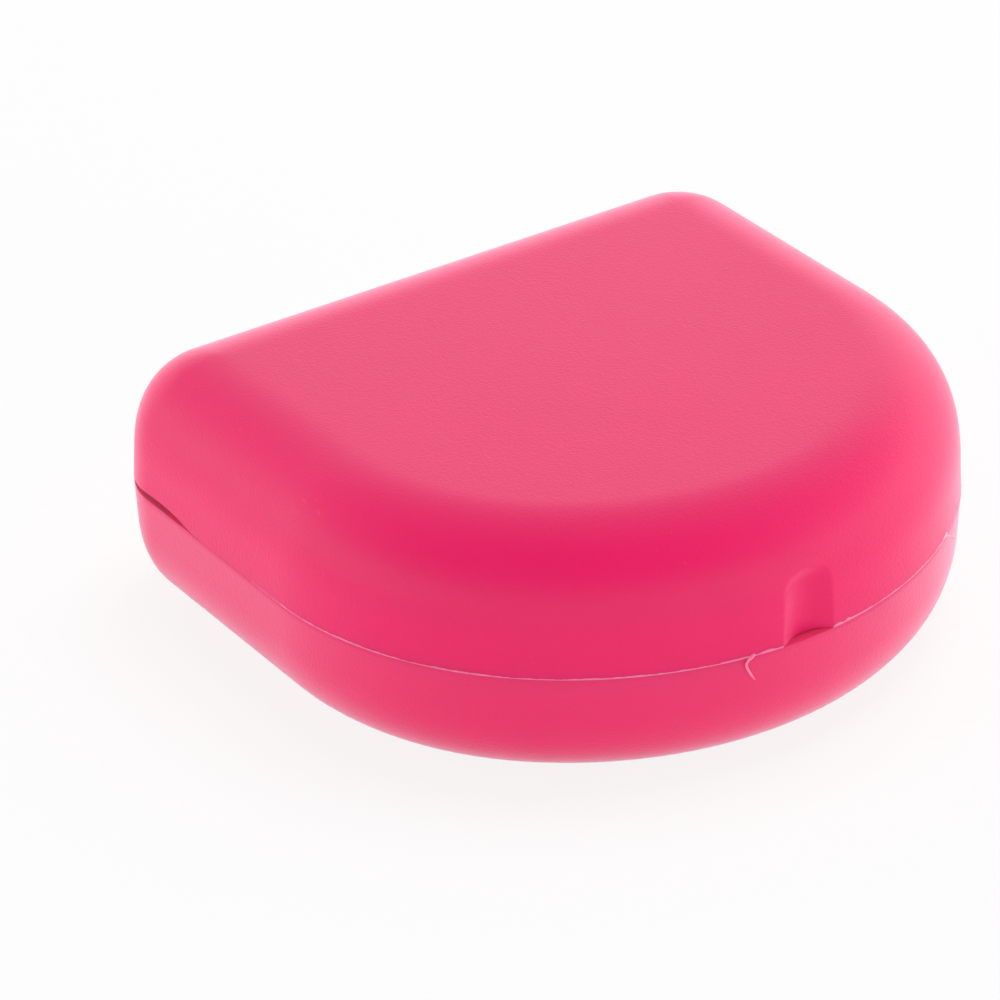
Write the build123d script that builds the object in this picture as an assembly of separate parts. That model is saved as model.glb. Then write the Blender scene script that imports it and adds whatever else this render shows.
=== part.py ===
from build123d import *
import math
import os

# Retainer case: a D shaped two part box with a flat, hinged back and a round front.
# Millimetres. +Z is up, the round front faces -Y and the hinged back faces +Y.
# The origin is the middle of the underside, which is flat and stands on the table.

# Plan outline, measured at the parting plane
case_width = 80.0  # side to side
shell_depth = 73.0  # round front to flat back, without the hinges
side_arc_less = 4.0  # the arcs beside the nose are this much tighter than half the width
nose_arc_more = 2.0  # the arc across the nose is this much flatter than half the width
corner_radius = 9.6  # both rear corners, and the lid's whole top edge

# Mouldings
base_height = 14.0  # table to parting plane
lid_height = 14.6  # parting plane to the top
lid_draft = 2.2  # degrees that the lid's walls lean in
base_draft = 2.1  # degrees that the base's walls lean in
base_edge_less = 0.8  # the base's bottom edge is this much tighter than the rear corners
wall = 1.8
rim_round = 0.25  # softened outer edge of each rim

# Lip under the lid's rim, which sits in a rebate inside the base's rim
lip_thickness = 0.8
lip_depth = 1.4
lip_clearance = 0.12
lip_floor_clearance = 0.25
lip_rear_gap = 14.5  # the lip stops this far in front of the flat back
lip_end_clearance = 0.4

# Snap beads on the lip, one on each side of the thumb notch
snap_length = 8.0
snap_from_lip_end = 1.4  # the lip's front end to the near end of a bead
snap_proud = 0.25
snap_height = 0.6
snap_drop = 0.7  # parting plane down to the middle of the bead

# Thumb notch, a scoop in the front of the lid
notch_width = 6.1
notch_depth = 1.6
notch_height = 8.15
notch_end_round = 1.0
notch_backing = 1.6  # plastic left behind the scoop

# Relief under the lid's rear rim, seen as a gap that opens towards the hinges
relief_height = 0.45
relief_start = 18.5  # ahead of the flat back, where the gap begins
relief_full = 10.5  # ahead of the flat back, where it reaches its full height

# Hinges, two alike
hinge_spacing = 40.0
barrel_radius = 2.1
barrel_standoff = 0.25  # barrel clear of the back wall
knuckle_width = 5.0
ear_width = 2.6
hinge_side_gap = 0.3
web_reach = 4.6  # how far a hinge web runs up or down the back wall
pin_radius = 0.75
pin_fit = 0.02  # radial, where the ears hold the pin
pin_running = 0.06  # radial, where the lid's knuckle turns on the pin

half_width = case_width / 2
back_y = shell_depth / 2
front_y = -shell_depth / 2
parting_z = base_height
base_edge = corner_radius - base_edge_less
axis_y = back_y + barrel_radius + barrel_standoff
lip_inset = wall - lip_thickness
rebate_inset = lip_inset - lip_clearance
notch_radius = ((notch_width / 2) ** 2 + notch_depth**2) / (2 * notch_depth)
notch_axis_y = front_y + notch_depth - notch_radius
backing_radius = notch_radius + notch_backing
rebate_start_x = backing_radius
lip_start_x = rebate_start_x + lip_end_clearance
snap_start_x = lip_start_x + snap_from_lip_end
lip_end_y = back_y - lip_rear_gap
rebate_end_y = lip_end_y + lip_end_clearance
hinge_length = knuckle_width + 2 * (hinge_side_gap + ear_width)
far = 2 * case_width  # larger than the case, for cutting blocks


def plan_face(inset, z):
    """The D outline, moved in from the outside by inset, as a face at height z."""
    side = half_width - inset
    back = back_y - inset
    nose_radius = half_width + nose_arc_more - inset
    side_radius = half_width - side_arc_less - inset
    lean = math.acos(side_arc_less / (side_arc_less + nose_arc_more))
    rise = (side_arc_less + nose_arc_more) * math.sin(lean)
    side_y = front_y + half_width + nose_arc_more - rise
    mid = (side_arc_less + side_radius * math.cos(lean / 2), side_y - side_radius * math.sin(lean / 2))
    join = (side_arc_less + side_radius * math.cos(lean), side_y - side_radius * math.sin(lean))
    tip = (0, side_y + rise - nose_radius)
    outline = [
        Line((side, back), (side, side_y)),
        ThreePointArc((side, side_y), mid, join),
        ThreePointArc(join, tip, (-join[0], join[1])),
        ThreePointArc((-join[0], join[1]), (-mid[0], mid[1]), (-side, side_y)),
        Line((-side, side_y), (-side, back)),
        Line((-side, back), (side, back)),
    ]
    return Pos(0, 0, z) * make_face(outline)


def rear_corner_edges(block):
    """The two edges that run up the rear corners of a block."""
    rear = [edge for edge in block.edges() if edge.center().Y > back_y / 2]
    return [edge for edge in rear if abs(edge.tangent_at(0.5).Z) > 0.5]


def moulding(height, draft, edge_radius, inset):
    """A block with its rim at z = 0, leaning walls, round rear corners and a round top edge."""
    rim = plan_face(inset, 0)
    top = plan_face(inset + height * math.tan(math.radians(draft)), height)
    block = loft([rim, top], ruled=True)
    corner = corner_radius - inset
    if edge_radius == corner:
        return fillet(rear_corner_edges(block) + list(block.faces().sort_by(Axis.Z)[-1].edges()), corner)
    block = fillet(rear_corner_edges(block), corner)
    return fillet(block.faces().sort_by(Axis.Z)[-1].edges(), edge_radius)


def soften_rim(block):
    """Round the outer edge of a block's rim, at z = 0."""
    return fillet(block.faces().sort_by(Axis.Z)[0].edges(), rim_round)


def band(outer_inset, inner_inset, low, high):
    """An upright ring that follows the plan outline, between two insets and two heights."""
    outer = extrude(plan_face(outer_inset, low), high - low)
    return outer - extrude(plan_face(inner_inset, low), high - low)


def ahead_of(y, low, high):
    """A block in front of y, between two heights."""
    return Pos(0, y - far / 2, (low + high) / 2) * Box(far, far, high - low)


def bead_ring(inset, proud, height):
    """A ring whose outside is a ridge of triangular section, centred on the snap height."""
    middle = -snap_drop
    low = plan_face(inset, middle - height / 2)
    ridge = plan_face(inset - proud, middle)
    high = plan_face(inset, middle + height / 2)
    inner = extrude(plan_face(inset + lip_thickness / 2, middle - height / 2), height)
    return loft([low, ridge, high], ruled=True) - inner


def snap_windows(margin):
    """Two blocks beside the notch that pick out the stretches where the lid snaps."""
    length = snap_length + 2 * margin
    centre = snap_start_x + snap_length / 2
    window = Box(length, shell_depth, lip_depth * 2)
    return Pos(centre, front_y, 0) * window + Pos(-centre, front_y, 0) * window


def across(radius, length):
    """A cylinder along X, centred on the hinge axis at the parting plane."""
    return Pos(0, axis_y, 0) * Rot(0, 90, 0) * Cylinder(radius, length)


def hinge_arm(width, up):
    """A barrel and the web that carries it off the back wall, up the lid or down the base."""
    start = relief_height if up > 0 else 0
    diagonal = barrel_radius * math.sqrt(0.5)
    profile = Polyline(
        (back_y - wall / 2, up * start),
        (axis_y, up * start),
        (axis_y + diagonal, up * diagonal),
        (back_y - wall / 2, up * web_reach),
        close=True,
    )
    web = extrude(Plane.YZ * make_face(profile), width / 2, both=True)
    return across(barrel_radius, width) + web


def hinge_places():
    """The middle of each hinge, left then right."""
    return [-hinge_spacing / 2, hinge_spacing / 2]


def thumb_scoop():
    """The round ended cutter of the thumb notch, open below the lid's rim."""
    below = lip_depth
    cutter = Pos(0, notch_axis_y, (notch_height - below) / 2) * Cylinder(notch_radius, notch_height + below)
    return fillet(cutter.faces().sort_by(Axis.Z)[-1].edges(), notch_end_round)


def scoop_backing(block):
    """The thicker plastic behind the thumb notch, kept inside the lid."""
    height = notch_height + notch_backing
    boss = Pos(0, notch_axis_y, height / 2) * Cylinder(backing_radius, height)
    return boss & block


def rear_relief():
    """The wedge that lifts the lid's rim off the base towards the hinges."""
    profile = Polyline(
        (back_y - relief_start, 0),
        (back_y - relief_full, relief_height),
        (back_y + wall, relief_height),
        (back_y + wall, -lip_depth),
        (back_y - relief_start, -lip_depth),
        close=True,
    )
    return extrude(Plane.YZ * make_face(profile), half_width, both=True)


def lid_lip():
    """The lip under the lid's rim with its two snap beads."""
    lip = band(lip_inset, wall, -lip_depth, relief_height)
    beads = bead_ring(lip_inset, snap_proud, snap_height) & snap_windows(0)
    gap = Pos(0, front_y, 0) * Box(2 * lip_start_x, shell_depth, far)
    return ((lip & ahead_of(lip_end_y, -lip_depth, relief_height)) - gap) + beads


def make_lid():
    """The upper moulding, built with its rim at z = 0 and lifted to the parting plane."""
    outside = moulding(lid_height, lid_draft, corner_radius, 0)
    inside = moulding(lid_height - wall, lid_draft, corner_radius - wall, wall)
    lid = soften_rim(outside) - inside
    lid += scoop_backing(outside)
    lid -= rear_relief()
    lid += lid_lip()
    lid -= thumb_scoop()
    bore = across(pin_radius + pin_running, hinge_length)
    for x in hinge_places():
        lid += Pos(x, 0, 0) * hinge_arm(knuckle_width, 1)
        lid -= Pos(x, 0, 0) * bore
    return Pos(0, 0, parting_z) * lid


def lip_rebate():
    """The cut inside the base's rim that takes the lid's lip and beads."""
    depth = lip_depth + lip_floor_clearance
    cut = band(rebate_inset, wall + lip_clearance, -depth, 0)
    groove = bead_ring(rebate_inset, snap_proud, snap_height + lip_clearance) & snap_windows(lip_clearance)
    gap = Pos(0, front_y, 0) * Box(2 * rebate_start_x, shell_depth, far)
    return ((cut & ahead_of(rebate_end_y, -depth, 0)) - gap) + groove


def make_base():
    """The lower moulding, built rim up at z = 0 and lifted so that it stands on z = 0."""
    outside = moulding(base_height, base_draft, base_edge, 0)
    inside = moulding(base_height - wall, base_draft, base_edge - wall, wall)
    base = mirror(soften_rim(outside) - inside, about=Plane.XY)
    base -= lip_rebate()
    bore = across(pin_radius + pin_fit, hinge_length)
    ear_shift = (knuckle_width + ear_width) / 2 + hinge_side_gap
    for x in hinge_places():
        for side in (-1, 1):
            base += Pos(x + side * ear_shift, 0, 0) * hinge_arm(ear_width, -1)
        base -= Pos(x, 0, 0) * bore
    return Pos(0, 0, parting_z) * base


def make_pin(x):
    """One hinge pin, as long as its hinge."""
    return Pos(x, 0, parting_z) * across(pin_radius, hinge_length)


os.makedirs("parts", exist_ok=True)
left_x, right_x = hinge_places()
export_step(make_base(), "parts/base_shell.step")
export_step(make_lid(), "parts/lid_shell.step")
export_step(make_pin(left_x), "parts/hinge_pin_left.step")
export_step(make_pin(right_x), "parts/hinge_pin_right.step")
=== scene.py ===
"""Retainer case: a D-shaped, hot pink, hinged box with a matte grain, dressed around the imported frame.

Every length is in metres and every place is in the frame's own axes: +Z up, the round front
towards -Y and the hinged back towards +Y.
"""

import logging
import math
from dataclasses import dataclass, replace
from enum import Enum

import bmesh
import bpy
import numpy as np
from mathutils import Matrix, Vector


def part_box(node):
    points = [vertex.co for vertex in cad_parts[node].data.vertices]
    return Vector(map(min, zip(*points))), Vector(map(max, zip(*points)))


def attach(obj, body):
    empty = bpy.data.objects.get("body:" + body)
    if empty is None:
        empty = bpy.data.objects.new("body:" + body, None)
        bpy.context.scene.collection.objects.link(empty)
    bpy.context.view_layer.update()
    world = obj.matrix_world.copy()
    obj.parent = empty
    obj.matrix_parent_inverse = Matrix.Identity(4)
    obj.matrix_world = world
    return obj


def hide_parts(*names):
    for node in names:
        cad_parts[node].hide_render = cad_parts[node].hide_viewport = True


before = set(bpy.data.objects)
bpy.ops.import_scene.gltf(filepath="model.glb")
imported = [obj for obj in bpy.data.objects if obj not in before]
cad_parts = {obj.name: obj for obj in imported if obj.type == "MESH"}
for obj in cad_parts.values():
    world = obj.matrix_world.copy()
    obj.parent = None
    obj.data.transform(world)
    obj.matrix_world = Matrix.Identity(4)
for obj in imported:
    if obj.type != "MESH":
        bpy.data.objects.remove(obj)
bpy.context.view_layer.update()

log = logging.getLogger("retainer_case")

MM = 0.001
TURN = 2 * math.pi
WHITE = (1.0, 1.0, 1.0, 1.0)

Pair = tuple[float, float]
Triple = tuple[float, float, float]
Socket = bpy.types.NodeSocket
Rows = np.ndarray


class Body(Enum):
    """The two rigid bodies of the frame."""

    BASE = "base"
    LID = "lid"


class Slot(Enum):
    """The record's material slots."""

    LID = "lid_plastic"
    BASE = "base_plastic"
    PIN = "pin_steel"


class Side(Enum):
    """Which way a moulding grows from the parting plane."""

    UP = 1
    DOWN = -1


def smooth_max(a: Rows, b: Rows, blend: float) -> Rows:
    """The larger of two surfaces, changing from one to the other over about the blend's length."""
    share = np.clip(0.5 + 0.5 * (a - b) / blend, 0.0, 1.0)
    return b * (1.0 - share) + a * share + blend * share * (1.0 - share)


def smooth_step(low: float, high: float, value: Rows) -> Rows:
    """A soft ramp of value, from 0 at low to 1 at high."""
    t = np.clip((value - low) / (high - low), 0.0, 1.0)
    return t * t * (3.0 - 2.0 * t)


def run_between(start: float, end: float, ramp: float, value: Rows) -> Rows:
    """1 from start to end, with a soft ramp just inside each, and 0 elsewhere."""
    return smooth_step(start, start + ramp, value) * (1.0 - smooth_step(end - ramp, end, value))


def along_path(path: Rows) -> Rows:
    """How far along a path each of its points lies."""
    return np.concatenate([[0.0], np.cumsum(np.hypot(*np.diff(path, axis=0).T))])


def graded(dense_end: float, dense_step: float, step: float) -> Rows:
    """Fractions from 0 to 1, close together up to dense_end and wider after it.

    Args:
        dense_end: the fraction where the close spacing ends.
        dense_step: the close spacing.
        step: the wide spacing.

    Returns:
        The fractions, first 0 and last 1.
    """
    close = np.linspace(0.0, dense_end, round(dense_end / dense_step) + 1)
    wide = np.linspace(dense_end, 1.0, round((1.0 - dense_end) / step) + 1)
    return np.concatenate([close, wide[1:]])


def around(count: int) -> list[float]:
    """That many angles, evenly spaced over a full turn."""
    return [TURN * k / count for k in range(count)]


def linked(name: str, data: bpy.types.ID) -> bpy.types.Object:
    """An object that holds the data, in the scene.

    Args:
        name: the object's name.
        data: its mesh, curve, light or camera.

    Returns:
        The object.
    """
    made = bpy.data.objects.new(name, data)
    bpy.context.scene.collection.objects.link(made)
    return made


def as_mesh(name: str, made: bmesh.types.BMesh) -> bpy.types.Mesh:
    """A mesh with outward normals from a working mesh, which is freed.

    Args:
        name: the mesh's name.
        made: the working mesh.

    Returns:
        The mesh.
    """
    bmesh.ops.recalc_face_normals(made, faces=made.faces)
    mesh = bpy.data.meshes.new(name)
    made.to_mesh(mesh)
    made.free()
    return mesh


def tube(made: bmesh.types.BMesh, rows: list[list[Triple]]) -> None:
    """Skin sections of points into a closed tube.

    Args:
        made: the working mesh that takes it.
        rows: the points of each section.
    """
    loops = [[made.verts.new(point) for point in row] for row in rows]
    for first, second in zip(loops, loops[1:]):
        for k in range(len(first)):
            after = (k + 1) % len(first)
            made.faces.new((first[k], first[after], second[after], second[k]))
    made.faces.new(loops[0])
    made.faces.new(loops[-1])


@dataclass(frozen=True)
class PlanShape:
    """The D outline seen from above, at the parting plane."""

    half_width: float = 40.0 * MM
    front_y: float = -36.5 * MM
    back_y: float = 36.5 * MM
    side_arc_less: float = 4.0 * MM
    nose_arc_more: float = 2.0 * MM
    corner_radius: float = 9.6 * MM
    least_corner: float = 0.5 * MM
    nose_marks: tuple[float, ...] = tuple(graded(0.145, 0.0029, 0.032))
    side_marks: tuple[float, ...] = tuple(graded(0.0, 1.0, 0.032)[1:])
    straight_marks: tuple[float, ...] = tuple(graded(0.0, 1.0, 0.04)[1:])
    corner_marks: tuple[float, ...] = tuple(graded(0.0, 1.0, 0.05)[1:])
    back_marks: tuple[float, ...] = tuple(graded(0.0, 1.0, 0.07)[1:])

    def half_ring(self, inset: float, corner: float) -> Rows:
        """The right half of the outline moved in by inset, from the nose tip to the middle of the back.

        Args:
            inset: how far inside the outline the ring runs.
            corner: the ring's own radius at the rear corner.

        Returns:
            One x, y row for each mark.
        """
        lean = math.acos(self.side_arc_less / (self.side_arc_less + self.nose_arc_more))
        rise = (self.side_arc_less + self.nose_arc_more) * math.sin(lean)
        side_y = self.front_y + self.half_width + self.nose_arc_more - rise
        nose_r = self.half_width + self.nose_arc_more - inset
        side_r = self.half_width - self.side_arc_less - inset
        edge_x = self.half_width - inset
        back = self.back_y - inset
        turn = -math.pi / 2 + np.array(self.nose_marks) * (math.pi / 2 - lean)
        nose = np.stack([nose_r * np.cos(turn), side_y + rise + nose_r * np.sin(turn)], axis=1)
        turn = -lean + np.array(self.side_marks) * lean
        side = np.stack([self.side_arc_less + side_r * np.cos(turn), side_y + side_r * np.sin(turn)], axis=1)
        up = np.array(self.straight_marks)
        straight = np.stack([np.full_like(up, edge_x), side_y + up * (back - corner - side_y)], axis=1)
        turn = np.array(self.corner_marks) * math.pi / 2
        bend_x = edge_x - corner + corner * np.cos(turn)
        bend = np.stack([bend_x, back - corner + corner * np.sin(turn)], axis=1)
        along = np.array(self.back_marks)
        rear = np.stack([(edge_x - corner) * (1.0 - along), np.full_like(along, back)], axis=1)
        return np.concatenate([nose, side, straight, bend, rear])

    def ring(self, inset: float, eaten: float) -> Rows:
        """The whole outline moved in by inset, anticlockwise from above and starting at the nose tip.

        Args:
            inset: how far inside the outline the ring runs.
            eaten: how much of the rear corner radius is used up at this ring.

        Returns:
            One x, y row for each mark.
        """
        corner = max(self.corner_radius - eaten, self.least_corner)
        half = self.half_ring(inset, corner)
        mirrored = half[1:-1][::-1] * np.array([-1.0, 1.0])
        return np.concatenate([half, mirrored])


@dataclass(frozen=True)
class RowSpacing:
    """How far apart a moulding's rings are, up its wall."""

    fine: float
    coarse: float
    fine_below: float


@dataclass(frozen=True)
class WallProfile:
    """A leaning wall that turns into a flat through a soft, curvature-blended edge."""

    height: float
    draft: float
    edge: float
    power: float = 2.3

    def dense(self, inset: float, count: int = 900) -> tuple[Rows, Rows, Rows]:
        """The profile from the rim to the flat, as a fine polyline.

        Args:
            inset: how far inside the outer wall this profile runs.
            count: points on the rounded edge.

        Returns:
            Height above the rim, total inset, and how much of it the rounded edge has taken.
        """
        straight = np.linspace(0.0, self.height - self.edge, count // 3)[:-1]
        turn = np.linspace(0.0, math.pi / 2, count)
        out = np.cos(turn) ** (2.0 / self.power)
        rise = np.sin(turn) ** (2.0 / self.power)
        start = self.height - self.edge
        z = np.concatenate([straight, start + self.edge * rise])
        taken = np.concatenate([np.zeros_like(straight), self.edge * (1.0 - out)])
        above = np.clip((z - start) / self.edge, 0.0, 1.0)
        lean = np.minimum(z, start) + self.edge * above * (1.0 - above) ** 2
        return z, inset + lean * math.tan(self.draft) + taken, taken

    def rows(self, inset: float, spacing: RowSpacing) -> Rows:
        """The profile thinned to rows of the mesh.

        Args:
            inset: how far inside the outer wall this profile runs.
            spacing: how far apart the rows are.

        Returns:
            One row of height, inset and taken for each ring of the mesh.
        """
        z, total, taken = self.dense(inset)
        length = along_path(np.stack([z, total], axis=1))
        steps = np.where(z < spacing.fine_below, spacing.fine, spacing.coarse)
        count = np.concatenate([[0.0], np.cumsum(np.diff(length) / steps[1:])])
        marks = np.linspace(0.0, count[-1], max(int(round(count[-1])), 2) + 1)
        return np.stack([np.interp(marks, count, v) for v in (z, total, taken)], axis=1)


@dataclass(frozen=True)
class ThumbScoop:
    """The upright groove in the front of the lid, and the thicker plastic behind it."""

    width: float = 6.1 * MM
    depth: float = 1.6 * MM
    height: float = 8.15 * MM
    end_round: float = 2.0 * MM
    shallower: float = 0.3 * MM
    backing: float = 1.6 * MM
    softness: float = 0.95 * MM
    never: float = -1.0

    @property
    def radius(self) -> float:
        """The groove's own radius, from its width and depth."""
        return ((self.width / 2) ** 2 + self.depth**2) / (2 * self.depth)

    def wall_y(self, points: Rows, front_y: float, grow: float) -> Rows:
        """Where the groove's wall lies, as a y for each point.

        Args:
            points: x, y, z rows, with z above the parting plane.
            front_y: the front of the outline.
            grow: how much larger than the groove the wall is, for the plastic behind it.

        Returns:
            The wall's y, or a value far in front where there is no groove.
        """
        axis_y = front_y + self.depth - self.shallower - self.radius
        top = self.height + grow
        into_end = np.clip((points[:, 2] - top + self.end_round) / self.end_round, 0.0, 1.0)
        radius = self.radius + grow - self.end_round * (1.0 - np.sqrt(1.0 - into_end**2))
        inside = radius**2 - points[:, 0] ** 2
        reach = axis_y + np.sqrt(np.maximum(inside, 0.0))
        return np.where((inside > 0.0) & (points[:, 2] < top), reach, self.never)

    def press(self, points: Rows, front_y: float, grow: float = 0.0) -> Rows:
        """Push points of the front wall back to the groove.

        Args:
            points: x, y, z rows, with z above the parting plane.
            front_y: the front of the outline.
            grow: as in wall_y.

        Returns:
            The points, with y moved back where the groove is.
        """
        pressed = points.copy()
        wall = self.wall_y(points, front_y, grow)
        near = (wall > self.never) & (points[:, 1] < 0.0)
        pressed[near, 1] = smooth_max(wall[near], points[near, 1], self.softness)
        return pressed


def skin(name: str, rings: list[Rows], side: Side, parting_z: float) -> bpy.types.Mesh:
    """Join rings of points with quads and close both ends.

    Args:
        name: the mesh's name.
        rings: x, y, z rows, with z away from the parting plane.
        side: whether heights are measured up or down from the parting plane.
        parting_z: the parting plane's height.

    Returns:
        The closed mesh, with its normals outwards.
    """
    count = len(rings[0])
    points = np.concatenate(rings)
    points[:, 2] = parting_z + side.value * points[:, 2]
    here = np.arange(count)
    after = (here + 1) % count
    faces: list[list[int]] = []
    for row in range(len(rings) - 1):
        a, b = row * count, (row + 1) * count
        faces += np.stack([a + here, b + here, b + after, a + after], axis=1).tolist()
    last = (len(rings) - 1) * count
    faces += [here.tolist(), (last + here[::-1]).tolist()]
    if side is Side.DOWN:
        faces = [face[::-1] for face in faces]
    mesh = bpy.data.meshes.new(name)
    mesh.from_pydata(points.tolist(), [], faces)
    mesh.polygons.foreach_set("use_smooth", [True] * len(faces))
    mesh.update()
    return mesh


@dataclass(frozen=True)
class HingeArm:
    """A hinge barrel with the web that carries it off the back wall."""

    axis_y: float = 38.85 * MM
    radius: float = 2.1 * MM
    bore: float = 0.79 * MM
    web_reach: float = 4.6 * MM
    root_depth: float = 0.9 * MM
    edge: float = 0.16 * MM
    turns: int = 40
    bore_turns: int = 32
    edge_turns: int = 2

    def outline(self, back_y: float, start: float) -> list[Pair]:
        """The arm's side view, as y from the hinge axis and height above the parting plane.

        Args:
            back_y: the case's flat back.
            start: the height where the web begins.

        Returns:
            The outline's corners in order.
        """
        root = back_y - self.root_depth - self.axis_y
        first = math.pi / 4
        last = -(math.pi + math.asin(start / self.radius))
        angles = [first + (last - first) * k / self.turns for k in range(self.turns + 1)]
        barrel = [(self.radius * math.cos(a), self.radius * math.sin(a)) for a in angles]
        return [(root, self.web_reach), *barrel, (root, start)]

    def mesh(self, name: str, width: float, back_y: float, start: float) -> bpy.types.Mesh:
        """One arm, centred on x = 0, with softened edges and a bore for the pin.

        Args:
            name: the mesh's name.
            width: how wide the arm is.
            back_y: the case's flat back.
            start: the height where the web begins.

        Returns:
            The arm's mesh, with z above the parting plane.
        """
        hole = [(self.bore * math.cos(a), self.bore * math.sin(a)) for a in around(self.bore_turns)]
        curve = bpy.data.curves.new(name, "CURVE")
        curve.dimensions = "2D"
        curve.fill_mode = "BOTH"
        curve.extrude = width / 2 - self.edge
        curve.bevel_depth = self.edge
        curve.bevel_resolution = self.edge_turns
        curve.offset = -self.edge
        for loop in (self.outline(back_y, start), hole):
            spline = curve.splines.new("POLY")
            spline.points.add(len(loop) - 1)
            for point, (y, z) in zip(spline.points, loop):
                point.co = (y, z, 0.0, 1.0)
            spline.use_cyclic_u = True
        holder = linked(name, curve)
        mesh = bpy.data.meshes.new_from_object(holder)
        bpy.data.objects.remove(holder)
        mesh.transform(Matrix(((0, 0, 1, 0), (1, 0, 0, self.axis_y), (0, 1, 0, 0), (0, 0, 0, 1))))
        return mesh


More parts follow.
